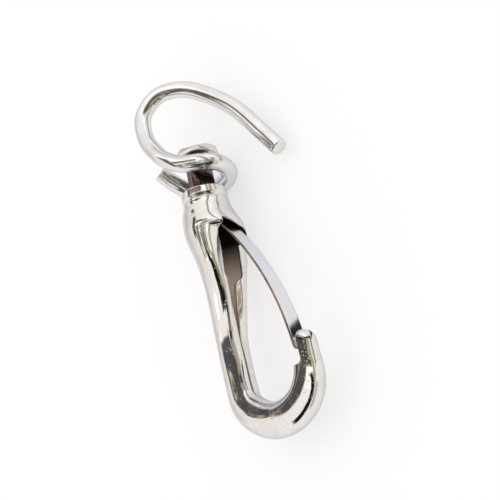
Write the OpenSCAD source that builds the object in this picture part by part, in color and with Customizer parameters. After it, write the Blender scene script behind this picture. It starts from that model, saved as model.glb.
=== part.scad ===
// Swivel snap hook lying on its side: a folded sheet hook, a flat spring gate,
// a headed stud turning in the neck, and an open wire eye looped round the stud.
// X runs from the back of the hook to its nose, Y from the bowl to the swivel,
// Z is up, square to the flat of the hook. The origin is the centre of the bowl.

/* [Hook] */
// Distance between the centre lines of the neck and the nose
hook_span = 19.2; // [18:0.1:22]
// Depth of the bowl's centre line below the origin
bowl_depth = 8.2; // [7.8:0.1:9]
// Height of the top of the neck collar above the origin
neck_top = 45.5; // [44:0.5:50]
// Height of the round end of the nose above the origin
nose_rise = 6.7; // [6.5:0.1:7.5]
// Thickness of the folded sheet
sheet = 0.6; // [0.5:0.05:0.7]

/* [Hook section] */
// Outer radius of the shoulder below the collar
shoulder_r = 5.6; // [5.4:0.1:5.8]
// Outer radius at the hood over the gate's root
hood_r = 6.35; // [6.2:0.05:6.6]
// Outer radius beside the open slot
throat_r = 5.6; // [5.4:0.1:5.8]
// Outer radius where the lips start to close
waist_r = 4.1; // [3.9:0.1:4.3]
// Outer radius of the closed back
back_r = 3.3; // [3.2:0.05:3.5]
// Outer radius at the bottom of the bowl
bowl_r = 3.7; // [3.5:0.1:3.9]
// Outer radius of the nose
nose_r = 2.8; // [2.7:0.05:3]
// How far the back of the hook is set outward from the neck's axis
back_set = 0.5; // [0.2:0.1:0.7]

/* [Slot and mouth] */
// Width of the open slot behind the gate
slot_w = 5; // [4.8:0.1:5.2]
// Height at which the open slot narrows to a gap
slot_low = 24; // [23:0.2:25]
// Width of the gap between the lips below the open slot
gap_w = 1.6; // [1.4:0.1:1.8]
// Height at which the lips meet in a seam
seam_top = 11.6; // [11:0.2:13]
// Width of the seam
seam_w = 0.25; // [0.2:0.05:0.4]
// Height of the hood's lip above the origin, on the middle line
hood_lip = 35.9; // [35.6:0.1:36.2]
// Rise of the hood's lip for each millimetre across the hook
hood_slant = 0.45; // [0:0.05:0.5]
// Depth of the cut in the nose's side walls, past the nose's centre line
mouth_cut = 0.6; // [0.3:0.1:0.8]
// Height of the mouth's lower step above the origin
mouth_low = -0.4; // [-1:0.1:0.2]

/* [Collar] */
// Outer radius of the collar's band
collar_r = 4.95; // [4.9:0.05:5.1]
// Height of the collar's band
collar_h = 1.9; // [1.6:0.1:2.2]
// Thickness of the neck web that the stud turns in
web_h = 2.4; // [2.2:0.1:2.8]

/* [Gate] */
// Width of the gate strip
gate_w = 4; // [3.8:0.1:4.2]
// Thickness of the gate strip
gate_t = 0.5; // [0.4:0.05:0.6]
// Rise of the gate's bow above a straight line
gate_bow = 2.9; // [2.4:0.1:3.2]
// Distance of the gate's pivot from the neck axis, towards the nose
pivot_x = 3.4; // [3.2:0.1:3.6]
// Height of the gate's pivot above the origin
pivot_y = 37.6; // [37.4:0.1:38]
// Radius of the rolled root that the gate turns on
roll_r = 0.7; // [0.6:0.05:0.8]
// Height of the gate's tip above the origin
gate_tip_y = 3.4; // [3.2:0.1:3.8]
// Distance of the gate's tip from the nose's centre line
gate_tip_in = 1.3; // [1.1:0.1:1.6]

/* [Swivel stud] */
// Radius of the stud's shank
shank_r = 2.8; // [2.6:0.05:2.9]
// Running clearance between the shank and its bore
run_clear = 0.06; // [0.04:0.01:0.09]
// Radius of the stud's outer head
head_r = 4.8; // [4.7:0.05:4.9]
// Height of the underside of the outer head above the collar
head_gap = 7.9; // [7.7:0.1:8.5]
// Thickness of the outer head's band
head_band = 1.2; // [1:0.1:1.4]
// Height of the outer head's dome
head_dome = 1.5; // [1.2:0.1:1.8]
// Radius of the riveted head inside the neck
rivet_r = 3.7; // [3.5:0.05:3.8]
// Thickness of the riveted head inside the neck
rivet_h = 1.5; // [1.2:0.1:1.6]
// End play of the stud in the neck
end_play = 0.15; // [0.1:0.05:0.3]

/* [Wire eye] */
// Diameter of the eye's wire
wire_d = 3.66; // [3.4:0.02:3.7]
// Inner radius of the turn round the shank
turn_r = 4.5; // [4.4:0.05:4.7]
// Reach of the eye on its closed side, from the neck axis to the wire's centre
eye_left = 9.8; // [9.5:0.1:10.5]
// Reach of the eye's free end from the neck axis
eye_right = 20.7; // [19:0.1:22]
// Height of the eye's crown above the collar, at the wire's centre
eye_top = 25.8; // [25:0.1:27]
// Height of the free end above the collar
eye_tail = 1.5; // [0.5:0.1:2]
// Tilt of the eye about the neck axis, free end down
eye_tilt = 11.5; // [9:0.5:12]

/* [Hidden] */
$fn = 48;
ring_points = 32;
wire_points = 14;
neck_x = -hook_span / 2;
nose_x = hook_span / 2;
neck_sink = collar_h * 0.53;
loft_top = neck_top - collar_h - neck_sink;
spine_len = loft_top;
bend_len = PI * (hook_span / 2 + bowl_depth) / 2;
nose_end = nose_rise - nose_r;

function smooth(t) = let(c = min(1, max(0, t))) c * c * (3 - 2 * c);

// Smooth value between the rows of a list, each row holding a place and its value
function slope(keys, i, col) =
    i == 0 || i == len(keys) - 1 ? 0
    : (keys[i + 1][col] - keys[i - 1][col]) / (keys[i + 1][0] - keys[i - 1][0]);
function key_index(keys, u, i = 0) =
    i >= len(keys) - 2 || u < keys[i + 1][0] ? i : key_index(keys, u, i + 1);
function key_value(keys, u, col) =
    let(
        v = min(keys[len(keys) - 1][0], max(keys[0][0], u)),
        i = key_index(keys, v),
        h = keys[i + 1][0] - keys[i][0],
        t = (v - keys[i][0]) / h,
        a = keys[i][col],
        b = keys[i + 1][col],
        ma = slope(keys, i, col) * h,
        mb = slope(keys, i + 1, col) * h
    )
    a * (2 * t * t * t - 3 * t * t + 1) + b * (3 * t * t - 2 * t * t * t)
    + ma * (t * t * t - 2 * t * t + t) + mb * (t * t * t - t * t);

// Centre line of the hook: down the back, round the bowl and up the nose
function bend_angle(u) = 180 * (u - spine_len) / bend_len;
function path_point(u) =
    u < spine_len ? [neck_x, loft_top - u]
    : u < spine_len + bend_len ? [neck_x * cos(bend_angle(u)), -bowl_depth * sin(bend_angle(u))]
    : [nose_x, u - spine_len - bend_len];
function path_normal(u) =
    u < spine_len ? [1, 0]
    : u < spine_len + bend_len
        ? let(n = [bowl_depth * cos(bend_angle(u)), hook_span / 2 * sin(bend_angle(u))]) n / norm(n)
    : [-1, 0];

// Heights of the sections that lie between the named ones
shoulder_y = hood_lip + (loft_top - hood_lip) * 0.61;
throat_y = slot_low + (hood_lip - slot_low) * 0.42;
waist_y = seam_top + (slot_low - seam_top) * 0.7;
fold_y = seam_top + (slot_low - seam_top) * 0.31;
straight_y = seam_top * 0.68;

// A row of place along the centre line and outer radius, then three lengths given as
// shares of that radius: shift towards the inside, flat's distance, turning in of the lips
function key(u, r, shift, flat, turn) = [u, r, shift * r, flat * r, turn * r];
round_flat = 1.7;
back_share = back_set / back_r;
section_keys = [
    key(0, collar_r, 0, round_flat, 0),
    key(loft_top - shoulder_y, shoulder_r, 0, round_flat, 0),
    key(loft_top - hood_lip, hood_r, 0.142, 0.71, 0),
    key(loft_top - throat_y, throat_r, 0.32, 0.464, 0),
    key(loft_top - slot_low, (throat_r + waist_r) * 0.475, 0.247, 0.67, 0.36),
    key(loft_top - waist_y, waist_r, 0.15, 0.93, 0.4),
    key(loft_top - fold_y, back_r * 1.106, 0, 0.915, 0.22),
    key(loft_top - seam_top, back_r * 1.015, -back_share * 0.8, 0.86, 0.07),
    key(loft_top - straight_y, back_r, -back_share, 0.86, 0),
    key(spine_len, back_r * 1.01, -back_share * 0.35, 0.9, 0),
    key(spine_len + bend_len * 0.25, bowl_r, 0.1, 1.5, 0),
    key(spine_len + bend_len * 0.5, bowl_r * 1.02, 0.03, 1.46, 0),
    key(spine_len + bend_len * 0.75, bowl_r * 0.95, 0, 0.95, 0),
    key(spine_len + bend_len, nose_r * 1.075, 0.145, 0.76, 0),
    key(spine_len + bend_len + nose_end, nose_r, 0.145, 0.8, 0)
];

// Distance of the flat inner face, which steps out under the slanted hood
hood_step = hood_r * 0.38;
function flat_at(u, z) =
    let(
        base = key_value(section_keys, u, 3),
        lift = smooth((loft_top - u - hood_slant * z - hood_lip) / hood_step + 1.08)
    )
    base + max(0, round_flat * hood_r - base) * lift * (u < spine_len / 2 ? 1 : 0);

// How far the face between the lips is turned in, most on the middle line
turn_w = slot_w * 0.32;
function turn_at(u, z) = key_value(section_keys, u, 4) * exp(-pow(z / turn_w, 2));

// One closed ring of the section: round at the back, flat towards the inside of the hook
corner_power = 5;
function ring(u, along, shrink, skin) =
    let(
        p = path_point(u),
        n = path_normal(u),
        d = [n[1], -n[0]],
        r = key_value(section_keys, u, 1) - skin,
        c = key_value(section_keys, u, 2)
    )
    [for (i = [0 : ring_points - 1])
        let(
            a = 360 * (i + 0.5) / ring_points,
            f = flat_at(u, r * sin(a)) - skin,
            k = pow(pow(1 / r, corner_power) + pow(max(cos(a), 0) / f, corner_power), -1 / corner_power),
            inward = cos(a) > 0 ? turn_at(u, k * sin(a)) : 0,
            q = p + n * (c + shrink * k * cos(a) - inward) + d * along
        )
        [q[0], q[1], shrink * k * sin(a)]];

spine_steps = 27;
bend_steps = 20;
cap_steps = 6;
cap_power = 0.7;
function body_places() = concat(
    [for (i = [0 : spine_steps - 1]) spine_len * i / spine_steps],
    [for (i = [0 : bend_steps - 1]) spine_len + bend_len * i / bend_steps],
    [for (i = [0 : 1]) spine_len + bend_len + nose_end * i / 2]
);
function skin_rings(skin) = concat(
    [for (u = body_places()) ring(u, 0, 1, skin)],
    [for (i = [0 : cap_steps])
        let(a = 90 * i / (cap_steps + 0.4))
        ring(spine_len + bend_len + nose_end, (nose_r - skin) * sin(a), pow(cos(a), cap_power), skin)]
);

// Two skins joined at the top by a rim, with the nose closed on both
module folded_tube() {
    outer = skin_rings(0);
    inner = skin_rings(sheet);
    count = len(outer);
    last = count - 1;
    points = concat([for (r = outer) each r], [for (r = inner) each r]);
    function at(side, j, i) = (side * count + j) * ring_points + (i % ring_points);
    faces = concat(
        [for (j = [0 : last - 1], i = [0 : ring_points - 1])
            each [[at(0, j, i), at(0, j + 1, i), at(0, j + 1, i + 1)],
                  [at(0, j, i), at(0, j + 1, i + 1), at(0, j, i + 1)]]],
        [for (j = [0 : last - 1], i = [0 : ring_points - 1])
            each [[at(1, j, i), at(1, j + 1, i + 1), at(1, j + 1, i)],
                  [at(1, j, i), at(1, j, i + 1), at(1, j + 1, i + 1)]]],
        [for (i = [0 : ring_points - 1])
            each [[at(0, 0, i), at(0, 0, i + 1), at(1, 0, i + 1)],
                  [at(0, 0, i), at(1, 0, i + 1), at(1, 0, i)]]],
        [[for (i = [ring_points - 1 : -1 : 0]) at(0, last, i)]],
        [[for (i = [0 : ring_points - 1]) at(1, last, i)]]
    );
    polyhedron(points, faces);
}

// The open slot behind the gate, drawn across Y and Z and cut through the lips
slot_floor_x = neck_x + sheet;
module slot_cut() {
    half = slot_w / 2;
    step = slot_w * 0.23;
    bend = [for (t = [0 : 0.2 : 1])
        [slot_low + step * (2 * t - 1), gap_w / 2 + (half - gap_w / 2) * smooth(t)]];
    side = concat(
        [[seam_top, seam_w / 2]],
        bend,
        [[hood_lip + hood_slant * half, half]]
    );
    other = [for (i = [len(side) - 2 : -1 : 0]) [side[i][0], -side[i][1]]];
    translate([slot_floor_x, 0, 0])
        rotate([90, 0, 90])
        linear_extrude(height = hook_span)
        polygon(concat(side, [[hood_lip - hood_slant * half, -half]], other));
}

// The seam where the lips meet, a thin plate inside the hook's centre line
module seam_cut() {
    translate([0, 0, -seam_w / 2])
        linear_extrude(height = seam_w)
        union() {
            translate([neck_x, 0])
                square([hook_span, seam_top + 2 * seam_w]);
            scale([1, bowl_depth / (hook_span / 2)])
                circle(r = hook_span / 2);
        }
}

// The nose's mouth, open towards the back of the hook to take the gate's tip
module mouth_cut_shape() {
    step_r = 0.8;
    edge = nose_x + mouth_cut;
    reach = nose_x - 1.6 * nose_r;
    translate([0, 0, -nose_r - 1])
        linear_extrude(height = 2 * nose_r + 2)
        union() {
            polygon([
                [reach, mouth_low],
                [edge - step_r, mouth_low],
                [edge, mouth_low + step_r],
                [nose_x + 0.2, nose_rise + 1],
                [reach, nose_rise + 1]
            ]);
            translate([edge - step_r, mouth_low + step_r])
                circle(r = step_r);
        }
}

// Blind holes inside the side walls that hold the ends of the gate's root
ear_clear = 0.06;
pivot_u = loft_top - pivot_y;
ear_wall = sqrt(pow(key_value(section_keys, pivot_u, 1) - sheet, 2)
    - pow(pivot_x - key_value(section_keys, pivot_u, 2), 2));
ear_reach = ear_wall + 0.1;
module ear_holes() {
    depth = ear_reach + ear_clear + 0.1;
    translate([neck_x + pivot_x, pivot_y, -depth])
        cylinder(r = roll_r + ear_clear, h = 2 * depth);
}

module neck() {
    groove_r = collar_r - 0.45;
    base_y = loft_top - 0.9;
    translate([neck_x, 0, 0])
        rotate([-90, 0, 0])
        rotate_extrude()
        polygon([
            [rivet_r + 0.3, base_y],
            [groove_r, base_y],
            [groove_r, neck_top - collar_h - 0.4],
            [collar_r, neck_top - collar_h + 0.2],
            [collar_r, neck_top - 0.4],
            [collar_r - 0.4, neck_top],
            [shank_r + run_clear, neck_top],
            [shank_r + run_clear, neck_top - web_h],
            [rivet_r + 0.3, neck_top - web_h]
        ]);
}

module hook_shell() {
    color("silver")
        union() {
            difference() {
                folded_tube();
                slot_cut();
                seam_cut();
                mouth_cut_shape();
                ear_holes();
            }
            neck();
        }
}

// The gate's bow is an arc through its root, its tip and the rise between them
root = [neck_x + pivot_x, pivot_y];
tip = [nose_x - gate_tip_in, gate_tip_y];
chord = norm(tip - root);
bow_r = (chord * chord / 4 + gate_bow * gate_bow) / (2 * gate_bow);
along = (tip - root) / chord;
out_dir = [-along[1], along[0]];
bow_centre = (root + tip) / 2 - out_dir * (bow_r - gate_bow);
module gate_spring() {
    half_angle = asin(chord / 2 / bow_r);
    mid_angle = atan2(out_dir[1], out_dir[0]);
    tip_start = gate_tip_y - 2 * gate_t;
    steps = 24;
    function arc_point(r, i) =
        bow_centre + r * [cos(mid_angle + half_angle * (1 - 2 * i / steps)),
                          sin(mid_angle + half_angle * (1 - 2 * i / steps))];
    color("gainsboro")
        union() {
            intersection() {
                translate([0, 0, -gate_w / 2])
                    linear_extrude(height = gate_w)
                    polygon(concat(
                        [for (i = [0 : steps]) arc_point(bow_r + gate_t / 2, i)],
                        [for (i = [steps : -1 : 0]) arc_point(bow_r - gate_t / 2, i)]
                    ));
                translate([neck_x, 0, 0])
                    rotate([90, 0, 90])
                    linear_extrude(height = 2 * hook_span)
                    union() {
                        translate([tip_start + gate_w / 2, -gate_w / 2])
                            square([pivot_y, gate_w]);
                        translate([tip_start + gate_w / 2, 0])
                            circle(r = gate_w / 2);
                    }
            }
            translate([root[0], root[1], -ear_reach])
                cylinder(r = roll_r, h = 2 * ear_reach);
        }
}

module swivel_stud() {
    under = neck_top + head_gap;
    foot = neck_top - web_h - end_play;
    color("darkgray")
        translate([neck_x, 0, 0])
        rotate([-90, 0, 0])
        rotate_extrude()
        polygon(concat(
            [[0, foot - rivet_h],
             [rivet_r - 0.6, foot - rivet_h],
             [rivet_r, foot - rivet_h + 0.6],
             [rivet_r, foot],
             [shank_r, foot],
             [shank_r, under],
             [head_r - 0.3, under],
             [head_r, under + 0.3],
             [head_r, under + head_band]],
            [for (a = [15 : 15 : 75]) [head_r * cos(a), under + head_band + head_dome * sin(a)]],
            [[0, under + head_band + head_dome]]
        ));
}

// Centre line of the wire: free end, crown, closed side, one turn round the shank, cut end
turn_c = turn_r + wire_d / 2;
eye_route = [
    [eye_right, eye_tail, 0],
    [eye_right * 0.85, eye_tail + (eye_top - eye_tail) * 0.2, 0],
    [eye_right * 0.6, eye_tail + (eye_top - eye_tail) * 0.53, 0],
    [eye_right * 0.29, eye_tail + (eye_top - eye_tail) * 0.8, 0],
    [0, eye_top * 0.969, 0.4],
    [-eye_left * 0.6, eye_top, 1.4],
    [-eye_left, eye_top * 0.853, 2.8],
    [-eye_left * 0.94, eye_top * 0.612, 4.2],
    [-eye_left * 0.66, eye_top * 0.43, 5.4],
    [-0.62 * turn_c, 8, 0.97 * turn_c],
    [0.03 * turn_c, 5.1, 1.03 * turn_c],
    [0.65 * turn_c, 4.1, 0.85 * turn_c],
    [1.03 * turn_c, 3.8, 0.35 * turn_c],
    [0.86 * turn_c, 3.2, -0.47 * turn_c],
    [0.1 * turn_c, 2.8, -0.92 * turn_c],
    [-0.73 * turn_c, 3.1, -0.7 * turn_c],
    [-1.14 * turn_c, 5.1, -0.25 * turn_c],
    [-1.46 * turn_c, 8.4, 0.2 * turn_c]
];
route_last = len(eye_route) - 1;
route_steps = 5;

function route_at(i) = eye_route[min(route_last, max(0, i))];
function spline(i, t) =
    let(a = route_at(i - 1), b = route_at(i), c = route_at(i + 1), d = route_at(i + 2))
    0.5 * (2 * b + (c - a) * t + (2 * a - 5 * b + 4 * c - d) * t * t
        + (3 * b - a - 3 * c + d) * t * t * t);
wire_line = concat(
    [for (i = [0 : route_last - 1], j = [0 : route_steps - 1]) spline(i, j / route_steps)],
    [eye_route[route_last]]
);
function unit(v) = v / norm(v);
function tangent(i) =
    unit(wire_line[min(len(wire_line) - 1, i + 1)] - wire_line[max(0, i - 1)]);
// A side direction carried along the wire without twisting
function carried(i, side) = unit(side - (side * tangent(i)) * tangent(i));
function side_list(i, side) =
    i >= len(wire_line) ? []
    : let(s = carried(i, side)) concat([s], side_list(i + 1, s));

module wire_eye() {
    sides = side_list(0, [0, 0, 1]);
    points = [for (i = [0 : len(wire_line) - 1])
        let(s = sides[i], b = cross(tangent(i), s))
        for (k = [0 : wire_points - 1])
            let(a = 360 * k / wire_points)
            wire_line[i] + wire_d / 2 * (s * cos(a) + b * sin(a))];
    function at(i, k) = i * wire_points + (k % wire_points);
    last = len(wire_line) - 1;
    faces = concat(
        [for (i = [0 : last - 1], k = [0 : wire_points - 1])
            each [[at(i, k), at(i + 1, k + 1), at(i, k + 1)],
                  [at(i, k), at(i + 1, k), at(i + 1, k + 1)]]],
        [[for (k = [0 : wire_points - 1]) at(0, k)]],
        [[for (k = [wire_points - 1 : -1 : 0]) at(last, k)]]
    );
    color("lightgray")
        translate([neck_x, neck_top, 0])
        rotate([0, eye_tilt, 0])
        polyhedron(points, faces);
}

hook_shell();
gate_spring();
swivel_stud();
wire_eye();
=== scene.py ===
import math

import bmesh
import bpy
import numpy as np
from mathutils import Matrix, Vector, noise as perlin


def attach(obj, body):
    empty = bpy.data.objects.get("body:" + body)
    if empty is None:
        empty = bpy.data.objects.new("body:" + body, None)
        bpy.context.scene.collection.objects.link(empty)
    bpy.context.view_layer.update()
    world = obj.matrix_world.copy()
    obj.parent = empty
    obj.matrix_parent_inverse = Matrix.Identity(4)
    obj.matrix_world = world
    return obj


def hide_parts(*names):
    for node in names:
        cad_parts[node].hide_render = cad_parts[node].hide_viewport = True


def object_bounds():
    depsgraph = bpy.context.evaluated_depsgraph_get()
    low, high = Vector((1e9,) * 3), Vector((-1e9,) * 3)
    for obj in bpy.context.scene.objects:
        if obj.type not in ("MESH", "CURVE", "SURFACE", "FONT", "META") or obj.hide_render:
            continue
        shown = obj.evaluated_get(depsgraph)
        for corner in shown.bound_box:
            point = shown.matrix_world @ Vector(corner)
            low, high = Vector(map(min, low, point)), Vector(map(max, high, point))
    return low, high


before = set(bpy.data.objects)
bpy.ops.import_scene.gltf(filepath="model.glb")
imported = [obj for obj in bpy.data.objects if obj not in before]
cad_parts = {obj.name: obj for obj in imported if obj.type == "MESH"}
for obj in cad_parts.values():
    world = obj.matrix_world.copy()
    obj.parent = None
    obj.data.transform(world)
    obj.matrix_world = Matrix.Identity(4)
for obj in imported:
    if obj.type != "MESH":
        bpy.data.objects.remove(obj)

CAD_BOX = [list(corner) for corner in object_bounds()]
MM = 0.001

# Sizes in mm, as in the part's source.
SPAN, DEPTH, NECK_TOP, NOSE_RISE, SHEET = 19.2, 8.2, 45.5, 6.7, 0.6
SLOT_HALF, SLOT_LOW, GAP_HALF, SEAM_TOP, SEAM_HALF = 2.5, 24.0, 0.8, 11.6, 0.125
HOOD_LIP, HOOD_SLANT, MOUTH_CUT, MOUTH_LOW, STEP_R = 35.9, 0.45, 0.6, -0.4, 0.8
COLLAR_R, COLLAR_H, WEB_H = 4.95, 1.9, 2.4
NOSE_R, HOOD_R, BACK_SET = 2.8, 6.35, 0.5
SHOULDER_R, THROAT_R, WAIST_R, BACK_R, BOWL_R = 5.6, 5.6, 4.1, 3.3, 3.7
NECK_X, NOSE_X = -SPAN / 2, SPAN / 2
LOFT_TOP = NECK_TOP - COLLAR_H * 1.53
SPINE = LOFT_TOP
BEND = math.pi * (SPAN / 2 + DEPTH) / 2
NOSE_END = NOSE_RISE - NOSE_R
BACK_SHARE = BACK_SET / BACK_R
ROUND = 1.7  # how far the section reaches forward in the neck, as a share of its radius
POWER = 5  # exponent of the section's rounded corners
BORE_R = 2.86  # bore of the collar
GROOVE = 0.45  # depth of the groove under the collar
RIM = 0.2  # how far the rounded edge of the sheet stands out


def key(u, r, shift, flat, turn):
    """Row of KEYS: place along the hook, half width, shift of the centre, reach forward, lips turned in."""
    return [u, r, shift * r, flat * r, turn * r]


KEYS = np.array([
    key(0, COLLAR_R, 0, ROUND, 0),
    key((LOFT_TOP - HOOD_LIP) * 0.39, SHOULDER_R, 0, ROUND, 0),
    key(LOFT_TOP - HOOD_LIP, HOOD_R, 0.142, 0.71, 0),
    key(LOFT_TOP - SLOT_LOW - (HOOD_LIP - SLOT_LOW) * 0.42, THROAT_R, 0.32, 0.464, 0),
    key(LOFT_TOP - SLOT_LOW, (THROAT_R + WAIST_R) * 0.475, 0.247, 0.67, 0.36),
    key(LOFT_TOP - SEAM_TOP - (SLOT_LOW - SEAM_TOP) * 0.7, WAIST_R, 0.15, 0.93, 0.4),
    key(LOFT_TOP - SEAM_TOP - (SLOT_LOW - SEAM_TOP) * 0.31, BACK_R * 1.106, 0, 0.915, 0.22),
    key(LOFT_TOP - SEAM_TOP, BACK_R * 1.015, -BACK_SHARE * 0.8, 0.86, 0.07),
    key(LOFT_TOP - SEAM_TOP * 0.68, BACK_R, -BACK_SHARE, 0.86, 0),
    key(SPINE, BACK_R * 1.01, -BACK_SHARE * 0.35, 0.9, 0),
    key(SPINE + BEND * 0.25, BOWL_R, 0.1, 1.5, 0),
    key(SPINE + BEND * 0.5, BOWL_R * 1.02, 0.03, 1.46, 0),
    key(SPINE + BEND * 0.75, BOWL_R * 0.95, 0, 0.95, 0),
    key(SPINE + BEND, NOSE_R * 1.075, 0.145, 0.76, 0),
    key(SPINE + BEND + NOSE_END, NOSE_R, 0.145, 0.8, 0),
])
SLOPES = np.zeros_like(KEYS)
SLOPES[1:-1] = (KEYS[2:] - KEYS[:-2]) / (KEYS[2:, :1] - KEYS[:-2, :1])


def key_value(u, col):
    """Smooth value between the rows of KEYS."""
    v = np.clip(u, KEYS[0, 0], KEYS[-1, 0])
    i = np.clip(np.searchsorted(KEYS[:, 0], v, side="right") - 1, 0, len(KEYS) - 2)
    h = KEYS[i + 1, 0] - KEYS[i, 0]
    t = (v - KEYS[i, 0]) / h
    a, b, ma, mb = KEYS[i, col], KEYS[i + 1, col], SLOPES[i, col] * h, SLOPES[i + 1, col] * h
    return (a * (2 * t**3 - 3 * t**2 + 1) + b * (3 * t**2 - 2 * t**3)
            + ma * (t**3 - 2 * t**2 + t) + mb * (t**3 - t**2))


def smooth(t):
    """Smooth rise from 0 at t = 0 to 1 at t = 1."""
    c = np.clip(t, 0, 1)
    return c * c * (3 - 2 * c)


def path(u):
    """Point of the hook's centre line and its normal towards the inside, in X and Y."""
    ang = np.radians(180 * np.clip((u - SPINE) / BEND, 0, 1))
    x, y = NECK_X * np.cos(ang), -DEPTH * np.sin(ang)
    y = y + np.where(u < SPINE, LOFT_TOP - u, 0) + np.where(u > SPINE + BEND, u - SPINE - BEND, 0)
    n = np.stack([DEPTH * np.cos(ang), SPAN / 2 * np.sin(ang)], -1)
    n /= np.linalg.norm(n, axis=-1, keepdims=True)
    return np.stack([x, y], -1), n


def skin_point(u, a, skin, cap=0.0):
    """Point of the hook's skin: place u along the hook, angle a round the section, depth under the outer face."""
    u, a = np.broadcast_arrays(np.asarray(u, float), np.asarray(a, float))
    p, n = path(u)
    d = np.stack([n[..., 1], -n[..., 0]], -1)
    r = key_value(u, 1) - skin
    z0 = r * np.sin(a)
    base = key_value(u, 3)
    lift = smooth((LOFT_TOP - u - HOOD_SLANT * z0 - HOOD_LIP) / (HOOD_R * 0.38) + 1.08) * (u < SPINE / 2)
    f = base + np.maximum(ROUND * HOOD_R - base, 0) * lift - skin
    front = np.maximum(np.cos(a), 0)
    k = ((1 / r) ** POWER + (front / f) ** POWER) ** (-1 / POWER)
    turned = np.where(front > 0, key_value(u, 4) * np.exp(-(k * np.sin(a) / (SLOT_HALF * 0.64)) ** 2), 0)
    shrink = math.cos(cap) ** 0.7
    q = p + n * (key_value(u, 2) + shrink * k * np.cos(a) - turned)[..., None] + d * (NOSE_R - skin) * math.sin(cap)
    return np.concatenate([q, (shrink * k * np.sin(a))[..., None]], -1)


def half_width(y):
    """Half the width of the opening between the lips, from the slot down into the seam."""
    rise = SLOT_HALF * 0.46
    if y < SLOT_LOW - rise:
        return float(np.interp(y, [SEAM_TOP, SLOT_LOW - rise], [SEAM_HALF, GAP_HALF]))
    return GAP_HALF + (SLOT_HALF - GAP_HALF) * float(smooth((y - SLOT_LOW) / rise / 2 + 0.5))


def bisect(test, lo, hi):
    """Place between lo and hi where the test stops holding."""
    for _ in range(30):
        mid = (lo + hi) / 2
        lo, hi = (mid, hi) if test(mid) else (lo, mid)
    return (lo + hi) / 2


def angle_for_z(u, z, skin, cap=0.0):
    """Angle at which the skin stands z off the middle plane."""
    s = math.copysign(1, z)
    return s * bisect(lambda a: abs(skin_point(u, a, skin, cap)[2]) < abs(z), 0.0, 1.25)


def mouth_x(y):
    """Place of the cut of the nose's mouth at height y, with the rounded step at its foot."""
    edge = NOSE_X + MOUTH_CUT
    if y < MOUTH_LOW + STEP_R:
        t = min(max(MOUTH_LOW + STEP_R - y, 0), STEP_R)
        return edge - STEP_R + math.sqrt(STEP_R**2 - t * t)
    return edge + (NOSE_X + 0.2 - edge) * (y - MOUTH_LOW - STEP_R) / (NOSE_RISE + 1 - MOUTH_LOW - STEP_R)


def mouth_angle(u, skin, cap):
    """Angle at which the section leaves the cut of the mouth."""
    def inside(a):
        p = skin_point(u, a, skin, cap)
        return p[0] < mouth_x(p[1])
    return bisect(inside, 0.02, math.pi)


def two_skins(outer, inner, faces, bulge, steps=5):
    """Vertices and faces of a sheet with a skin on each side and a rounded rim along every free edge."""
    count = len(outer)
    f = np.array(faces)
    fn = np.cross(outer[f[:, 2]] - outer[f[:, 0]], outer[f[:, 3]] - outer[f[:, 1]])
    vn = np.zeros_like(outer)
    for k in range(4):
        np.add.at(vn, f[:, k], fn)
    vn /= np.maximum(np.linalg.norm(vn, axis=1, keepdims=True), 1e-12)
    edges = {}
    for q in faces:
        for a, b in zip(q, q[1:] + q[:1]):
            edges[(a, b)] = True
    free = [(a, b) for a, b in edges if (b, a) not in edges and a != b]
    away = {}
    for a, b in free:
        e = outer[b] - outer[a]
        ln = np.linalg.norm(e)
        if ln < 1e-7:
            continue
        t = np.cross(e / ln, (vn[a] + vn[b]) / 2)
        for v in (a, b):
            away[v] = away.get(v, 0) + t
    verts = list(outer) + list(inner)
    rim = {}
    for v in {x for ab in free for x in ab}:
        t = away.get(v, np.zeros(3))
        ln = np.linalg.norm(t)
        t = t / ln if ln > 1e-6 else t
        mid, half = (outer[v] + inner[v]) / 2, (outer[v] - inner[v]) / 2
        rim[v] = [v]
        for i in range(1, steps + 1):
            b = math.pi * i / (steps + 1)
            c, s = math.cos(b), math.sin(b)
            rim[v].append(len(verts))
            verts.append(mid + half * math.copysign(abs(c) ** 0.7, c) + t * bulge * s ** 0.7)
        rim[v].append(v + count)
    out = [list(q) for q in faces] + [[v + count for v in q[::-1]] for q in faces]
    for a, b in free:
        for i in range(steps + 1):
            out.append([rim[b][i], rim[a][i], rim[a][i + 1], rim[b][i + 1]])
    return np.array(verts), out


def lathe(profile, segments=128):
    """Vertices and faces of a turned ring or disc about the neck's axis. Rows of profile are radius and height."""
    verts, faces = [], []
    n = len(profile)
    for i in range(segments):
        a = 2 * math.pi * i / segments
        for r, y in profile:
            verts.append((NECK_X + r * math.cos(a), y, r * math.sin(a)))
    for i in range(segments):
        j = (i + 1) % segments
        for k in range(n - 1):
            faces.append([i * n + k, i * n + k + 1, j * n + k + 1, j * n + k])
    return np.array(verts), faces


def rounded(points, radii, steps=6):
    """A profile with its corners rounded."""
    out = [points[0]]
    for i in range(1, len(points) - 1):
        p, a, b = (np.array(points[k], float) for k in (i, i - 1, i + 1))
        da, db = (a - p), (b - p)
        la, lb = np.linalg.norm(da), np.linalg.norm(db)
        r = min(radii[i], la * 0.48, lb * 0.48)
        if r <= 0:
            out.append(tuple(p))
            continue
        s, e = p + da / la * r, p + db / lb * r
        for t in np.linspace(0, 1, steps + 1):
            out.append(tuple((1 - t) ** 2 * s + 2 * t * (1 - t) * p + t * t * e))
    out.append(points[-1])
    return out


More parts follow.
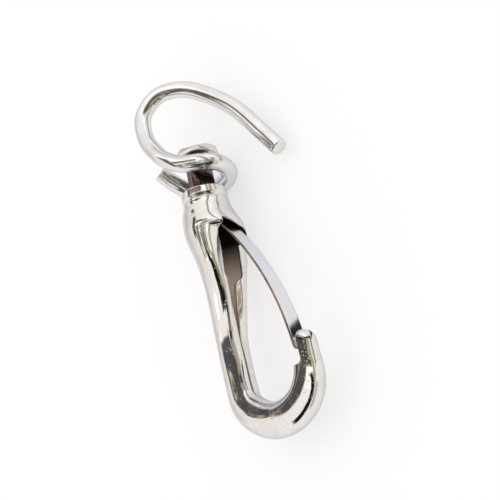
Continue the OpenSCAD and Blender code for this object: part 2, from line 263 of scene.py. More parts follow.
def add_piece(name, verts, faces, body, node, sharp=50, kinds=None):
    """A piece of the object in place of its CAD node. sharp is in degrees, kinds is each face's material."""
    me = bpy.data.meshes.new(name)
    me.from_pydata([tuple(float(c) * MM for c in v) for v in verts], [], [tuple(f) for f in faces])
    if kinds is not None:
        me.polygons.foreach_set("material_index", kinds)
    bm = bmesh.new()
    bm.from_mesh(me)
    bmesh.ops.remove_doubles(bm, verts=bm.verts, dist=2e-6)
    bmesh.ops.dissolve_degenerate(bm, edges=bm.edges, dist=1e-6)
    bmesh.ops.recalc_face_normals(bm, faces=bm.faces)
    bm.to_mesh(me)
    bm.free()
    me.polygons.foreach_set("use_smooth", [True] * len(me.polygons))
    me.set_sharp_from_angle(angle=math.radians(sharp))
    o = bpy.data.objects.new(name, me)
    bpy.context.scene.collection.objects.link(o)
    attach(o, body)
    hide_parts(node)
    return o


# The hook's shell.
def spine_at(y):
    """Place along the hook where the nose's side of the bowl has height y below the bowl's centre."""
    return SPINE + BEND * (180 - math.degrees(math.asin(-y / DEPTH))) / 180


def shell_rows():
    """Rows along the hook: place, angle of the nose's end cap and kind of edge."""
    lip = LOFT_TOP - HOOD_LIP
    rows = [(u, 0.0, "closed") for u in np.linspace(0, lip, 20)]
    rows += [(lip + d, 0.0, "slot") for d in np.linspace(0.12, 3.6, 24)]
    rows += [(u, 0.0, "slot") for u in np.linspace(lip + 4.0, SPINE, 74)]
    rows += [(u, 0.0, "slot") for u in np.linspace(SPINE + 0.4, spine_at(MOUTH_LOW), 74)]
    ys = [MOUTH_LOW + 0.01] + [MOUTH_LOW + STEP_R * (1 - math.cos(t)) for t in np.radians(np.arange(12, 91, 13))]
    ys += list(np.linspace(MOUTH_LOW + STEP_R + 0.3, NOSE_END, 12))
    rows += [(SPINE + BEND + y if y > 0 else spine_at(y), 0.0, "mouth") for y in ys]
    caps = [*range(5, 66, 6), 70, 74, 78, 81]
    return rows + [(SPINE + BEND + NOSE_END, math.radians(c), "mouth") for c in caps]


def build_shell():
    """The folded sheet with its collar. Faces are of kind 1 on the inner skin and 0 elsewhere."""
    around, across, hood_reach = 112, 20, 7.0
    outer, inner, rows = [], [], shell_rows()
    for u0, cap, kind in rows:
        for skin, store in ((0.0, outer), (SHEET, inner)):
            if kind == "mouth":
                lip_near = mouth_angle(u0, skin, cap)
                lip_far = -lip_near
                weight = 0.0
            else:
                y = LOFT_TOP - u0
                weight = float(smooth(1 - abs(y - HOOD_LIP) / hood_reach)) if u0 < SPINE else 0.0
                tilt = weight * HOOD_SLANT
                half = (SLOT_HALF if kind == "closed" else half_width(y)) + (RIM if kind == "slot" else 0)
                lip_near = angle_for_z(u0 - tilt * SLOT_HALF, half, skin)
                lip_far = angle_for_z(u0 + tilt * SLOT_HALF, -half, skin)
            a = np.linspace(lip_near, 2 * math.pi + lip_far, around + 1)
            if kind == "closed":
                zs = np.linspace(-SLOT_HALF, SLOT_HALF, across + 1)[1:-1]
                mid = [angle_for_z(u0 - tilt * z, z if abs(z) > 1e-6 else 1e-6, skin) for z in zs]
                a = np.concatenate([a, 2 * math.pi + np.array(mid)])
            if weight > 0:
                r = float(key_value(np.array(u0), 1)) - skin
                z = np.clip(r * np.sin(a), -SLOT_HALF, SLOT_HALF)
                if kind == "closed":
                    z[around + 1:] = zs
                u = u0 - weight * HOOD_SLANT * z
            else:
                u = np.full_like(a, u0)
            store.append(skin_point(np.maximum(u, 0), a, skin, cap))
    start = np.cumsum([0] + [len(r) for r in outer])
    faces = []
    for j in range(len(rows) - 1):
        s, t = start[j], start[j + 1]
        for i in range(around):
            faces.append([int(s + i), int(t + i), int(t + i + 1), int(s + i + 1)])
        if rows[j][2] == rows[j + 1][2] == "closed":
            ring = [around] + list(range(around + 1, around + across)) + [0]
            for i, k in zip(ring, ring[1:]):
                faces.append([int(s + i), int(t + i), int(t + k), int(s + k)])
    outer, inner = np.concatenate(outer), np.concatenate(inner)
    skin_faces = len(faces)
    verts, faces = two_skins(outer, inner, faces, RIM)
    groove, base, wall = COLLAR_R - GROOVE, LOFT_TOP - 0.9, 4.0
    pts = [(3.0, base), (groove, base), (groove, NECK_TOP - COLLAR_H - 0.35), (COLLAR_R, NECK_TOP - COLLAR_H + 0.1),
           (COLLAR_R, NECK_TOP - 0.25), (COLLAR_R - 0.3, NECK_TOP), (BORE_R, NECK_TOP), (BORE_R, NECK_TOP - WEB_H),
           (wall, NECK_TOP - WEB_H), (wall, base)]
    ring_v, ring_f = lathe(rounded(pts, [0, 0.1, 0.3, 0.25, 0.25, 0.3, 0.15, 0.1, 0.1, 0.1]))
    n = len(verts)
    verts = np.concatenate([verts, ring_v])
    faces += [[v + n for v in f] for f in ring_f]
    kinds = [0] * skin_faces + [1] * skin_faces + [0] * (len(faces) - 2 * skin_faces)
    return add_piece("hook_plate", verts, faces, "hook", "hook_shell", kinds=kinds)


# The gate.
GATE_W, GATE_T, GATE_BOW = 4.0, 0.5, 2.9
GATE_RIM = 0.16
ROOT_R, ROOT_HALF = 0.7, 4.74  # the rolled root: its radius and half its length
ROOT = np.array([NECK_X + 3.4, 37.6])
TIP = np.array([NOSE_X - 1.3, 3.4])


def build_gate():
    """The bowed strip with a rounded tip, and its rolled root. Faces are of kind 1 on the cut edges."""
    chord = np.linalg.norm(TIP - ROOT)
    radius = (chord**2 / 4 + GATE_BOW**2) / (2 * GATE_BOW)
    along = (TIP - ROOT) / chord
    out = np.array([-along[1], along[0]])
    centre = (ROOT + TIP) / 2 - out * (radius - GATE_BOW)
    half, mid = math.asin(chord / 2 / radius), math.atan2(out[1], out[0])
    end_y, across, n = TIP[1] - 1, 16, 90
    outer, inner = [], []
    for i in range(n + 1):
        a = mid + half * (1 - 2 * i / n)
        d = np.array([math.cos(a), math.sin(a)])
        y = centre[1] + radius * d[1]
        t = min(max(y - end_y, 0), GATE_W / 2)
        w = math.sqrt(max((GATE_W / 2) ** 2 - (GATE_W / 2 - t) ** 2, 0)) - GATE_RIM
        if w < 0.3:
            break
        zs = np.linspace(-w, w, across + 1)
        p = centre + d * (radius + GATE_T / 2)
        q = centre + d * (radius - GATE_T / 2)
        outer.append(np.array([[p[0], p[1], z] for z in zs]))
        inner.append(np.array([[q[0], q[1], z] for z in zs]))
    faces = []
    for j in range(len(outer) - 1):
        for i in range(across):
            s, t = j * (across + 1) + i, (j + 1) * (across + 1) + i
            faces.append([s, s + 1, t + 1, t])
    skin_faces = len(faces)
    verts, faces = two_skins(np.concatenate(outer), np.concatenate(inner), faces, GATE_RIM, 4)
    kinds = [0] * 2 * skin_faces + [1] * (len(faces) - 2 * skin_faces)
    corners = [(0.0, -ROOT_HALF), (ROOT_R, -ROOT_HALF), (ROOT_R, ROOT_HALF), (0.0, ROOT_HALF)]
    prof = rounded(corners, [0, 0.12, 0.12, 0], 4)
    n0, seg = len(verts), 40
    extra = []
    for i in range(seg):
        a = 2 * math.pi * i / seg
        for r, z in prof:
            extra.append((ROOT[0] + r * math.cos(a), ROOT[1] + r * math.sin(a), z))
    m = len(prof)
    for i in range(seg):
        j = (i + 1) % seg
        for k in range(m - 1):
            faces.append([n0 + i * m + k, n0 + j * m + k, n0 + j * m + k + 1, n0 + i * m + k + 1])
    kinds += [0] * (len(faces) - len(kinds))
    verts = np.concatenate([verts, np.array(extra)])
    return add_piece("gate_leaf", verts, faces, "gate", "gate_spring", kinds=kinds)


# The stud.
SHANK_R, SHANK_UP, HEAD_R, HEAD_SIDE, DOME_H = 2.8, 7.9, 4.8, 1.2, 1.5
FOOT_R, FOOT_H, FOOT_GAP = 3.7, 1.5, 0.15


def build_stud():
    """Shank, riveted inner head and peened outer head."""
    under, foot = NECK_TOP + SHANK_UP, NECK_TOP - WEB_H - FOOT_GAP
    pts = [(0.0, foot - FOOT_H), (FOOT_R - 0.6, foot - FOOT_H), (FOOT_R, foot - 0.9), (FOOT_R, foot), (SHANK_R, foot),
           (SHANK_R, under), (HEAD_R - 0.3, under), (HEAD_R, under + 0.3), (HEAD_R, under + HEAD_SIDE)]
    for a in np.radians(range(12, 90, 6)):
        pts.append((HEAD_R * math.cos(a), under + HEAD_SIDE + DOME_H * math.sin(a)))
    pts.append((0.0, under + HEAD_SIDE + DOME_H))
    radii = [0, 0.2, 0.2, 0.1, 0.05, 0.25, 0.25, 0.25, 0.4]
    prof = rounded(pts, radii + [0] * (len(pts) - len(radii)), 4)
    verts, faces = lathe(prof, 160)
    # shallow flats that the peening tool leaves: direction round the axis, direction up, distance from the base
    top = verts[:, 1] > under + 0.2
    flats = [(np.array([math.cos(t) * math.cos(e), math.sin(e), math.sin(t) * math.cos(e)]), off)
             for t, e, off in ((0.3, 0.55, 4.35), (1.25, 0.35, 4.5), (2.2, 0.6, 4.3), (3.3, 0.4, 4.45),
                               (4.2, 0.7, 4.25), (5.2, 0.45, 4.4), (0.9, 1.1, 3.6), (3.9, 1.2, 3.55))]
    base = np.array([NECK_X, under - 0.6, 0])
    for nrm, off in flats:
        d = (verts - base) @ nrm - off
        push = np.where(top & (d > 0), d * 0.75, 0)
        verts = verts - push[:, None] * nrm
    return add_piece("swivel_rivet", verts, faces, "stud", "swivel_stud", 60)


# The wire eye. ROUTE is measured from the collar's top, on the stud's axis.
WIRE_D = 3.66
TURN_C = 4.5 + WIRE_D / 2
EYE_L, EYE_R, EYE_TOP, EYE_TAIL, EYE_TILT = 9.8, 20.7, 25.8, 1.5, 11.5
ROUTE = np.array([
    [EYE_R, EYE_TAIL, 0],
    [EYE_R * 0.85, EYE_TAIL + (EYE_TOP - EYE_TAIL) * 0.2, 0],
    [EYE_R * 0.6, EYE_TAIL + (EYE_TOP - EYE_TAIL) * 0.53, 0],
    [EYE_R * 0.29, EYE_TAIL + (EYE_TOP - EYE_TAIL) * 0.8, 0],
    [0, EYE_TOP * 0.969, 0.4],
    [-EYE_L * 0.6, EYE_TOP, 1.4],
    [-EYE_L, EYE_TOP * 0.853, 2.8],
    [-EYE_L * 0.94, EYE_TOP * 0.612, 4.2],
    [-EYE_L * 0.66, EYE_TOP * 0.43, 5.4],
    [-0.62 * TURN_C, 8, 0.97 * TURN_C],
    [0.03 * TURN_C, 5.1, 1.03 * TURN_C],
    [0.65 * TURN_C, 4.1, 0.85 * TURN_C],
    [1.03 * TURN_C, 3.8, 0.35 * TURN_C],
    [0.86 * TURN_C, 3.2, -0.47 * TURN_C],
    [0.1 * TURN_C, 2.8, -0.92 * TURN_C],
    [-0.73 * TURN_C, 3.1, -0.7 * TURN_C],
    [-1.14 * TURN_C, 5.1, -0.25 * TURN_C],
    [-1.46 * TURN_C, 8.4, 0.2 * TURN_C],
])


def spline(points, steps):
    """Points of a smooth curve through the given ones."""
    pad = np.concatenate([points[:1], points, points[-1:]])
    out = []
    for i in range(len(points) - 1):
        a, b, c, d = pad[i:i + 4]
        for j in range(steps):
            t = j / steps
            out.append(0.5 * (2 * b + (c - a) * t + (2 * a - 5 * b + 4 * c - d) * t * t
                              + (3 * b - a - 3 * c + d) * t**3))
    out.append(points[-1])
    return np.array(out)


def build_eye():
    """Round wire along ROUTE, tilted about the neck, with a small chamfer on both cut ends."""
    line, sides = spline(ROUTE, 16), 40
    tang = np.zeros_like(line)
    tang[1:-1] = line[2:] - line[:-2]
    tang[0], tang[-1] = line[1] - line[0], line[-1] - line[-2]
    tang /= np.linalg.norm(tang, axis=1, keepdims=True)
    side = np.array([0.0, 0.0, 1.0])
    chamfer = [(0.0, 0.80), (0.12, 0.93), (0.35, 1.0)]  # distance from the end, share of the radius
    rings, frames = [], []
    for i in range(len(line)):
        side = side - (side @ tang[i]) * tang[i]
        side /= np.linalg.norm(side)
        frames.append((side.copy(), np.cross(tang[i], side)))
    ang = 2 * math.pi * np.arange(sides) / sides

    def ring(centre, fr, scale):
        return centre + WIRE_D / 2 * scale * (np.cos(ang)[:, None] * fr[0] + np.sin(ang)[:, None] * fr[1])

    for s, k in chamfer:
        rings.append(ring(line[0] + tang[0] * s, frames[0], k))
    length = np.concatenate([[0], np.cumsum(np.linalg.norm(np.diff(line, axis=0), axis=1))])
    for i in range(1, len(line) - 1):
        if 0.5 < length[i] < length[-1] - 0.5:
            rings.append(ring(line[i], frames[i], 1.0))
    for s, k in chamfer[::-1]:
        rings.append(ring(line[-1] - tang[-1] * s, frames[-1], k))
    verts = np.concatenate(rings)
    last = len(rings) - 1
    faces = []
    for i in range(last):
        for k in range(sides):
            m = (k + 1) % sides
            faces.append([i * sides + k, (i + 1) * sides + k, (i + 1) * sides + m, i * sides + m])
    faces.append(list(range(sides)))
    faces.append([last * sides + k for k in range(sides)][::-1])
    t = math.radians(EYE_TILT)
    rot = np.array([[math.cos(t), 0, math.sin(t)], [0, 1, 0], [-math.sin(t), 0, math.cos(t)]])
    verts = verts @ rot.T + np.array([NECK_X, NECK_TOP, 0])
    return add_piece("eye_wire", verts, faces, "eye", "wire_eye", 40)


# Materials.
def nodes_of(name):
    """A new material, its node tree and its main shader."""
    mat = bpy.data.materials.new(name)
    mat.use_nodes = True
    tree = mat.node_tree
    return mat, tree, tree.nodes["Principled BSDF"]


def maths(tree, kind, a, b=None):
    """One sum on numbers or sockets."""
    n = tree.nodes.new("ShaderNodeMath")
    n.operation = kind
    for i, value in enumerate((a, b)):
        if isinstance(value, (int, float)):
            n.inputs[i].default_value = value
        elif value is not None:
            tree.links.new(value, n.inputs[i])
    return n.outputs[0]


def noise(tree, coord, scale, detail=3.0, stretch=None, rough=0.5):
    src = coord
    if stretch:
        mp = tree.nodes.new("ShaderNodeMapping")
        mp.inputs["Scale"].default_value = stretch
        tree.links.new(coord, mp.inputs["Vector"])
        src = mp.outputs["Vector"]
    n = tree.nodes.new("ShaderNodeTexNoise")
    n.inputs["Scale"].default_value = scale
    n.inputs["Detail"].default_value = detail
    n.inputs["Roughness"].default_value = rough
    tree.links.new(src, n.inputs["Vector"])
    return n.outputs["Fac"]


def ramp(tree, fac, stops):
    r = tree.nodes.new("ShaderNodeValToRGB")
    while len(r.color_ramp.elements) < len(stops):
        r.color_ramp.elements.new(0.5)
    for e, (pos, col) in zip(r.color_ramp.elements, stops):
        e.position, e.color = pos, (*col, 1)
    tree.links.new(fac, r.inputs["Fac"])
    return r.outputs["Color"]


def bump(tree, height, strength, distance, normal=None):
    b = tree.nodes.new("ShaderNodeBump")
    b.inputs["Strength"].default_value = strength
    b.inputs["Distance"].default_value = distance
    tree.links.new(height, b.inputs["Height"])
    if normal is not None:
        tree.links.new(normal, b.inputs["Normal"])
    return b.outputs["Normal"]


def plating(name, light, dark, rough=(0.05, 0.12), wave=0.25, pits=0.0, along=(1, 1, 1), painted_shade=None, metal=1.0):
    """Bright plate: slightly wavy, with fine scratches, faint stains and a few pits.

    The dark band between two heights, where one is given, is painted shade: low and high in mm, the share of that
    length in which it fades in, and its colour.
    """
    mat, tree, bsdf = nodes_of(name)
    coord = tree.nodes.new("ShaderNodeTexCoord").outputs["Object"]
    bsdf.inputs["Metallic"].default_value = metal
    bsdf.inputs["Specular Tint"].default_value = (0.72, 0.76, 0.84, 1)
    stain = noise(tree, coord, 260, 4, rough=0.6)
    color = ramp(tree, stain, [(0.35, dark), (0.6, light)])
    # painted shade: a dark band of the given colour between two heights
    if painted_shade:
        low, high, fade, shade_tint = painted_shade
        sep = tree.nodes.new("ShaderNodeSeparateXYZ")
        tree.links.new(coord, sep.inputs["Vector"])
        span = tree.nodes.new("ShaderNodeMapRange")
        span.inputs["From Min"].default_value = low * MM
        span.inputs["From Max"].default_value = high * MM
        tree.links.new(sep.outputs["Y"], span.inputs["Value"])
        shade_amount = ramp(tree, span.outputs["Result"],
                      [(0.0, (0, 0, 0)), (fade, (1, 1, 1)), (0.85, (1, 1, 1)), (1.0, (0, 0, 0))])
        over = tree.nodes.new("ShaderNodeMix")
        over.data_type = "RGBA"
        over.inputs["B"].default_value = (*shade_tint, 1)
        tree.links.new(shade_amount, over.inputs["Factor"])
        tree.links.new(color, over.inputs["A"])
        color = over.outputs["Result"]
    tree.links.new(color, bsdf.inputs["Base Color"])
    streak = noise(tree, coord, 900, 2, stretch=along)
    tree.links.new(ramp(tree, streak, [(0.3, (rough[0],) * 3), (0.75, (rough[1],) * 3)]), bsdf.inputs["Roughness"])
    nrm = bump(tree, noise(tree, coord, 110, 1.5), wave, 0.0012)
    nrm = bump(tree, streak, 0.10, 0.00006, nrm)
    if pits:
        vor = tree.nodes.new("ShaderNodeTexVoronoi")
        vor.inputs["Scale"].default_value = 2600
        tree.links.new(coord, vor.inputs["Vector"])
        where = noise(tree, coord, 300, 2)
        dots = ramp(tree, vor.outputs["Distance"], [(0.12, (0, 0, 0)), (0.3, (1, 1, 1))])
        gate = ramp(tree, where, [(0.52, (1, 1, 1)), (0.62, (0, 0, 0))])
        mx = tree.nodes.new("ShaderNodeMix")
        mx.data_type = "RGBA"
        mx.blend_type = "LIGHTEN"
        mx.inputs["Factor"].default_value = 1.0
        tree.links.new(dots, mx.inputs["A"])
        tree.links.new(gate, mx.inputs["B"])
        nrm = bump(tree, mx.outputs["Result"], pits, 0.00008, nrm)
    tree.links.new(nrm, bsdf.inputs["Normal"])
    return mat


def paint(obj, *mats):
    """Give the object its materials, and leave each face the one it had by number."""
    kinds = [face.material_index for face in obj.data.polygons]
    obj.data.materials.clear()
    for mat in mats:
        obj.data.materials.append(mat)
    obj.data.polygons.foreach_set("material_index", kinds)


paint(build_shell(),
      plating("hook_nickel", (0.80, 0.78, 0.75), (0.74, 0.71, 0.67), pits=0.5, along=(1, 0.15, 1)),
      # the inner skin, with painted shade: black from under the hood up into the neck, fading in from 24 mm
      plating("inside_nickel_painted_shade", (0.97, 0.86, 0.76), (0.93, 0.78, 0.64), rough=(0.4, 0.5), wave=0.05, metal=0.05,
              painted_shade=(24, 70, 0.22, (0.02, 0.014, 0.01))))
paint(build_gate(),
      plating("gate_nickel", (0.79, 0.80, 0.83), (0.75, 0.76, 0.79), rough=(0.12, 0.22), wave=0.08, along=(1, 0.08, 1)),
      # the cut edges, with a painted dark reflection
      plating("gate_edge_painted_reflection", (0.26, 0.19, 0.13), (0.10, 0.07, 0.05), rough=(0.3, 0.45), wave=0.1, metal=0.6))
# painted shade: the shank goes dark brown between the collar and the head
paint(build_stud(),
      plating("stud_nickel_painted_shade", (0.78, 0.75, 0.72), (0.70, 0.67, 0.63), wave=0.35,
              painted_shade=(45.3, 53.4, 0.08, (0.17, 0.125, 0.10))))
paint(build_eye(),
      plating("wire_nickel", (0.80, 0.79, 0.77), (0.74, 0.73, 0.71), rough=(0.13, 0.2), wave=0.12))


# Floor, light and camera.
FLOOR_GLOW = 0.62  # brings the floor near white where it is seen, and leaves the shadow on it


def stage_floor():
    low = CAD_BOX[0][2]
    bpy.ops.mesh.primitive_plane_add(size=6, location=(0, 0, low))
    floor = bpy.context.object
    floor.name = "floor"
    mat, tree, bsdf = nodes_of("floor_white")
    bsdf.inputs["Base Color"].default_value = (0.22, 0.22, 0.23, 1)
    bsdf.inputs["Roughness"].default_value = 0.9
    bsdf.inputs["Specular IOR Level"].default_value = 0.0
    rays = tree.nodes.new("ShaderNodeLightPath").outputs
    seen = maths(tree, "MAXIMUM", rays["Is Camera Ray"], rays["Is Glossy Ray"])
    seen = maths(tree, "MAXIMUM", seen, rays["Is Transmission Ray"])
    bsdf.inputs["Emission Color"].default_value = (1, 1, 1, 1)
    tree.links.new(maths(tree, "MULTIPLY", seen, FLOOR_GLOW), bsdf.inputs["Emission Strength"])
    paint(floor, mat)


def world_light():
    """White for the camera, even for diffuse light. Reflections see a bright tent with dark bands low to the right."""
    world = bpy.data.worlds.new("studio")
    bpy.context.scene.world = world
    world.use_nodes = True
    tree = world.node_tree
    tree.nodes.clear()
    out = tree.nodes.new("ShaderNodeOutputWorld")
    lp = tree.nodes.new("ShaderNodeLightPath")
    coord = tree.nodes.new("ShaderNodeTexCoord").outputs["Generated"]

    def lobe(direction, inner, outer):
        """1 within inner degrees of the direction, 0 beyond outer."""
        d = tree.nodes.new("ShaderNodeVectorMath")
        d.operation = "DOT_PRODUCT"
        d.inputs[1].default_value = Vector(direction).normalized()
        tree.links.new(coord, d.inputs[0])
        m = tree.nodes.new("ShaderNodeMapRange")
        m.interpolation_type = "SMOOTHSTEP"
        m.inputs["From Min"].default_value = math.cos(math.radians(outer))
        m.inputs["From Max"].default_value = math.cos(math.radians(inner))
        tree.links.new(d.outputs["Value"], m.inputs["Value"])
        return m.outputs["Result"]

    def mixed(fac, a, b):
        """Colour or socket a where fac is 0, b where it is 1."""
        mx = tree.nodes.new("ShaderNodeMix")
        mx.data_type = "RGBA"
        tree.links.new(fac, mx.inputs["Factor"])
        for socket, value in (("A", a), ("B", b)):
            if isinstance(value, tuple):
                mx.inputs[socket].default_value = (*value, 1)
            else:
                tree.links.new(value, mx.inputs[socket])
        return mx.outputs["Result"]

    def between(value, low, high, soft):
        """1 between two angles in degrees, with soft ends."""
        parts = []
        for at, flip in ((low, 1), (high, -1)):
            m = tree.nodes.new("ShaderNodeMapRange")
            m.interpolation_type = "SMOOTHSTEP"
            m.inputs["From Min"].default_value = math.radians(at - soft * flip)
            m.inputs["From Max"].default_value = math.radians(at + soft * flip)
            tree.links.new(value, m.inputs["Value"])
            parts.append(m.outputs["Result"])
        return maths(tree, "MULTIPLY", *parts)

    def wedge(az, az_soft, el, el_soft):
        """1 in a range of azimuths and heights."""
        return maths(tree, "MULTIPLY", between(azimuth, *az, az_soft), between(height, *el, el_soft))

    sep = tree.nodes.new("ShaderNodeSeparateXYZ")
    tree.links.new(coord, sep.inputs["Vector"])
    azimuth = maths(tree, "ARCTAN2", sep.outputs["Y"], sep.outputs["X"])
    streaks = maths(tree, "MULTIPLY", maths(tree, "SUBTRACT", noise(tree, coord, 9, 3), 0.5), 0.22)
    azimuth = maths(tree, "ADD", azimuth, streaks)
    height = maths(tree, "ARCSINE", sep.outputs["Z"])
    sky = mixed(lobe((-1, 0.2, 0.4), 30, 100), (1.10, 1.11, 1.12), (1.03, 0.99, 0.99))
    sky = mixed(wedge((110, 180), 25, (-30, 18), 22), sky, (0.70, 0.66, 0.65))
    sky = mixed(lobe((0.9, 0.3, 0.5), 20, 60), sky, (1.35, 1.35, 1.35))
    # low to the right: a black band that sinks towards the front, khaki under it
    slant = maths(tree, "EXPONENT", maths(tree, "MULTIPLY", azimuth, 2.2))
    slant = maths(tree, "MULTIPLY", slant, math.radians(28))
    over = maths(tree, "SUBTRACT", height, maths(tree, "ADD", slant, math.radians(8)))
    right = between(azimuth, -108, 2, 4)
    sky = mixed(maths(tree, "MULTIPLY", right, between(over, -36, -8, 4)), sky, (0.50, 0.45, 0.30))
    sky = mixed(maths(tree, "MULTIPLY", right, between(over, -11, 12, 3)), sky, (0.006, 0.006, 0.012))
    sky = mixed(wedge((-6, 33), 5, (0, 17), 5), sky, (0.45, 0.38, 0.22))
    soft = mixed(lp.outputs["Is Diffuse Ray"], sky, (1.8, 1.7, 1.6))
    final = mixed(lp.outputs["Is Camera Ray"], soft, (1, 1, 1))
    bg = tree.nodes.new("ShaderNodeBackground")
    tree.links.new(final, bg.inputs["Color"])
    tree.links.new(bg.outputs["Background"], out.inputs["Surface"])


def lamp(name, at, size, watts):
    """A round lamp that faces the origin."""
    data = bpy.data.lights.new(name, "AREA")
    data.shape, data.size, data.energy = "DISK", size, watts
    o = bpy.data.objects.new(name, data)
    bpy.context.scene.collection.objects.link(o)
    o.location = at
    o.rotation_mode = "QUATERNION"
    o.rotation_quaternion = Vector(at).to_track_quat("Z", "Y")


def card(name, to_world, us, vs, tone):
    """A flat studio card, no part of the object, seen by reflections alone.

    tone gives each point of its grid a colour and how much of it there is.
    """
    verts, faces, tones = [], [], []
    for u in us:
        for v in vs:
            verts.append(Vector(to_world(u, v)) * MM)
            tones.append(tone(u, v))
    m = len(vs)
    for i in range(len(us) - 1):
        for j in range(m - 1):
            k = i * m + j
            if max(tones[q][3] for q in (k, k + 1, k + m, k + m + 1)) > 0.01:
                faces.append((k, k + m, k + m + 1, k + 1))
    me = bpy.data.meshes.new(name)
    me.from_pydata(verts, [], faces)
    layer = me.color_attributes.new("tone", "FLOAT_COLOR", "POINT")
    layer.data.foreach_set("color", [float(c) for t in tones for c in t])
    o = bpy.data.objects.new(name, me)
    bpy.context.scene.collection.objects.link(o)
    o.visible_camera = o.visible_diffuse = o.visible_shadow = o.visible_transmission = False
    mat, tree, bsdf = nodes_of(name)
    tree.nodes.remove(bsdf)
    attr = tree.nodes.new("ShaderNodeAttribute")
    attr.attribute_name = "tone"
    em = tree.nodes.new("ShaderNodeEmission")
    tree.links.new(attr.outputs["Color"], em.inputs["Color"])
    clear = tree.nodes.new("ShaderNodeBsdfTransparent")
    mx = tree.nodes.new("ShaderNodeMixShader")
    tree.links.new(attr.outputs["Alpha"], mx.inputs["Fac"])
    tree.links.new(clear.outputs[0], mx.inputs[1])
    tree.links.new(em.outputs[0], mx.inputs[2])
    tree.links.new(mx.outputs[0], tree.nodes["Material Output"].inputs["Surface"])
    paint(o, mat)


BLACK, GREY, GOLD = (0.004, 0.004, 0.004), (0.085, 0.085, 0.088), (0.62, 0.48, 0.26)
KHAKI, OLIVE, UMBER = (0.42, 0.39, 0.27), (0.28, 0.27, 0.19), (0.10, 0.08, 0.055)
PALE, WHITE, DUSK = (1.08, 1.04, 1.04), (1.0, 0.99, 0.97), (0.50, 0.46, 0.38)


def step(a, b, x):
    """Soft step from 0 at a to 1 at b."""
    return float(smooth((x - a) / (b - a)))


def ripple(x, y, size=3.0):
    """Smooth irregular value, mostly between -1 and 1, the same each run."""
    return 1.6 * perlin.fractal(Vector((x / size, y / size, 0.5)), 0.7, 2.0, 3)


def over_tone(x, y):
    """Tones of the dark room seen over the hook."""
    w = ripple(x, y)
    color, alpha = (0, 0, 0), 0.0

    def lay(c, a):
        """Lay a colour over what is there."""
        nonlocal color, alpha
        if a > 0:
            color = tuple(p * (1 - a) + q * a for p, q in zip(color, c)) if alpha > 0 else c
            alpha = max(alpha, a)

    # the round dark patch that the bowl sees, and the tongue that the nose sees
    d = 24 + 0.6 * w - math.hypot(x + 1, y - 10)
    if x < 10:
        d = min(d, 12 - y)
    elif y > 6:
        d = min(86 + 0.5 * w - x, y - 3 - 0.12 * x, 28 - y)
    lay(GOLD, step(0, 0.8, d))
    lay(GREY, step(1.0, 3.2, d))
    # khaki over the tongue
    side = step(18, 22, x) * step(20 + 0.05 * x, 23 + 0.05 * x, y + 0.5 * w)
    side *= 1 - step(33 + 0.12 * x, 36 + 0.12 * x, y + w)
    lay(KHAKI, side * (1 - step(0, 4, y - 45)))
    # khaki streaks that the hood sees
    streak = ripple(x, y * 0.3, 2.2)
    hood = step(-25, -22, x + 0.5 * w) * (1 - step(14, 22, x)) * step(30, 33, y) * (1 - step(46, 49, y + w))
    lay(OLIVE, hood * step(-0.9, 0.1, streak + 0.3))
    lay(UMBER, hood * step(0.1, 0.6, streak) * (1 - step(-8, 4, x)))
    # the black bar that the back sees
    left = float(np.interp(y, [12, 16, 20, 25, 29, 33], [4, 2, -2, -4, -9, -10]))
    right = float(np.interp(y, [14, 17, 26, 30, 34], [16, 32, 18, 3, -2]))
    bar = step(0, 0.8, x - left - 0.5 * w) * (1 - step(right - 1, right + 4, x))
    lay(BLACK, bar * step(15.8, 17, y) * (1 - step(32, 34, y + 0.5 * w)))
    # the patch under the collar
    under = step(-21, -18, x + w) * (1 - step(8, 11, x + w))
    under *= step(50, 52, y + w) * (1 - step(59, 61, y + w))
    lay(OLIVE, under)
    lay(BLACK, under * step(55, 56.5, y + w) * step(-0.5, 0.2, ripple(x, y, 4)))
    # painted shade: a black strip, seen in reflection, darkens the wire at the start of the turn
    lay(BLACK, (1 - step(4, 5.5, abs(x + 24.5 + 0.6 * w))) * step(38, 42, y) * (1 - step(66, 70, y)) * 0.95)
    return (*color, alpha)


def low_tone(x, z):
    """Tones of the upright card behind the bowl."""
    w = ripple(x, z)
    top = float(np.interp(x, [-41, -37, -24, -17, -12, 12], [60, 39, 28, 26, 34, 36]))
    low = float(np.interp(x, [-41, -26, -20, -15, 12], [34, 16, 10.5, 6, 6]))
    a = step(-52, -44, x) * (1 - step(10, 14, x))
    return (*GREY, a * step(low, low + 4, z + 0.5 * w) * (1 - step(top, top + 2, z + 0.5 * w)))


def floor_tone(x, y):
    """Khaki low beside the hook, as the back and the nose see it, and the black strip that the back's line ends in."""
    w = ripple(x, y)
    a = step(14, 16, y + 0.4 * w) * (1 - step(24 + 0.06 * x, 27 + 0.07 * x, y + w)) * step(20, 34, x)
    turn, ring = math.degrees(math.atan2(y + 4, x - 9)), math.hypot(x - 9, y + 4)
    b = step(24, 30, ring) * (1 - step(98, 110, ring)) * step(-80, -70, turn) * (1 - step(-24, -14, turn))
    black = step(10.5, 11.3, y) * (1 - step(14.2, 15, y + 0.3 * w)) * step(8, 11, x)
    if black > 0.3:
        return (*BLACK, black)
    return (*KHAKI, max(a, b) * min(max(0.8 + 0.3 * w, 0), 1))


def near_tone(x, y):
    """Card close over the back: grey over its lower half, white above."""
    w = ripple(x, y, 1.2)
    left = float(np.interp(y, [3, 13], [-8.5, -10.5]))
    a = step(0, 0.3, x - left + 0.2 * w) * (1 - step(-1, 1, x))
    a *= step(0.5, 2, y) * (1 - step(12.9, 13.1, y + 0.15 * w))
    white = step(13.1, 13.2, y + 0.15 * w) * (1 - step(16.6, 17.4, y + 0.4 * w))
    white *= (1 - step(6, 7, x)) * step(-14, -13, x)
    return (*(GREY if a > white else PALE), max(a, white))


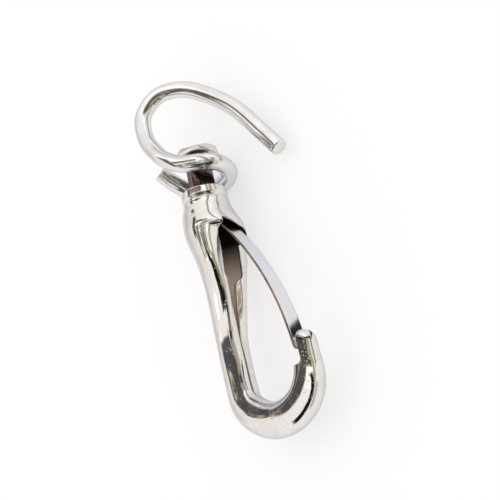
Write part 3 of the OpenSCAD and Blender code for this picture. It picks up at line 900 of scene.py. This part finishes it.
def right_tone(y, z):
    """Narrow black card to the right, which the black line down the back ends in."""
    top = float(np.interp(y, [12, 13.2, 14, 15, 17], [4, 8, 20, 26, 28]))
    a = step(11.5, 12.3, y) * (1 - step(16.8, 17.5, y)) * (1 - step(top - 2, top, z))
    return (*BLACK, a)


def lip_tone(x, y):
    """White card that keeps the step under the hood light."""
    left = float(np.interp(y, [30, 31.5], [-1.0, -2.0]))
    right = float(np.interp(y, [30, 32], [2.5, 1.5]))
    return (*WHITE, step(left - 0.2, left + 0.2, x) * (1 - step(right - 0.2, right + 0.2, x)))


def wire_tone(x, y):
    """Dark line over the wire, soft to one side."""
    route = [(-18, 63), (-15, 66.2), (-11.4, 68.4), (-7.6, 69.6), (-5, 69.4), (-1.7, 68.4), (1.1, 65.6),
             (3, 62.9), (4.8, 61), (6.2, 58.9), (7.2, 56), (10, 50), (12.5, 46.5)]
    p = Vector((x, y))
    gaps = []
    for a, b in zip(route, route[1:]):
        a, b = Vector(a), Vector(b)
        t = min(max((p - a).dot(b - a) / (b - a).length_squared, 0), 1)
        gaps.append(((p - a - t * (b - a)).length, (b - a).cross(p - a)))
    gap, side = min(gaps)
    wide = 1.9 + 1.1 * (1 - step(-9, -2, x))
    core = 1 - step(wide * 0.6, wide * 1.8, gap)
    halo = 1 - step(2.5, 8, gap) if side < 0 else 1 - step(1.5, 3, gap)
    color = tuple(c * core + h * (1 - core) for c, h in zip(UMBER, DUSK))
    return (*color, max(core, 0.8 * halo) * step(-16, -12, x))


stage_floor()
world_light()
lamp("key", (-0.25, 0.35, 0.65), 0.6, 0.5)
# Cards over the hook, behind the bowl, low beside it, close over the back, to the right, over the hood and the wire.
LOW = CAD_BOX[0][2] / MM + 0.1
HIGH, BEHIND, NEAR, RIGHT, HOOD_NEAR = 26, 12.7, 10, 30, 8
card("card_over", lambda x, y: (x, y, HIGH), np.arange(-45, 90), np.arange(-30, 84), over_tone)
card("card_behind", lambda x, z: (x, BEHIND, z), np.arange(-53, 15), np.arange(4, 64), low_tone)
card("card_under", lambda x, y: (x, y, LOW), np.arange(-8, 120, 2), np.arange(-90, 46, 0.75), floor_tone)
card("card_near", lambda x, y: (x, y, NEAR), np.arange(-15, 8, 0.25), np.arange(0, 18, 0.25), near_tone)
card("card_right", lambda y, z: (RIGHT, y, z), np.arange(11, 19, 0.5), np.arange(-7, 29), right_tone)
card("card_lip", lambda x, y: (x, y, HOOD_NEAR), np.arange(-3, 4, 0.2), np.arange(31, 36, 0.5), lip_tone)
card("card_wire", lambda x, y: (x, y, NEAR), np.arange(-22, 16, 0.5), np.arange(42, 80, 0.5), wire_tone)

CAM_AT = Vector((0.200325, -0.082691, 0.207442))
CAM_RIGHT = Vector((0.65237, -0.19407, -0.73263))
CAM_UP = Vector((0.39283, 0.91326, 0.10788))
CAM_BACK = Vector((0.64815, -0.35817, 0.67202))
cam_data = bpy.data.cameras.new("camera")
cam_data.lens = 108.56
cam_data.sensor_width = 36
cam_data.clip_start = 0.01
cam = bpy.data.objects.new("camera", cam_data)
bpy.context.scene.collection.objects.link(cam)
cam.matrix_world = Matrix((
    (CAM_RIGHT.x, CAM_UP.x, CAM_BACK.x, CAM_AT.x),
    (CAM_RIGHT.y, CAM_UP.y, CAM_BACK.y, CAM_AT.y),
    (CAM_RIGHT.z, CAM_UP.z, CAM_BACK.z, CAM_AT.z),
    (0, 0, 0, 1)))
bpy.context.scene.camera = cam
bpy.context.scene.view_settings.view_transform = "Standard"
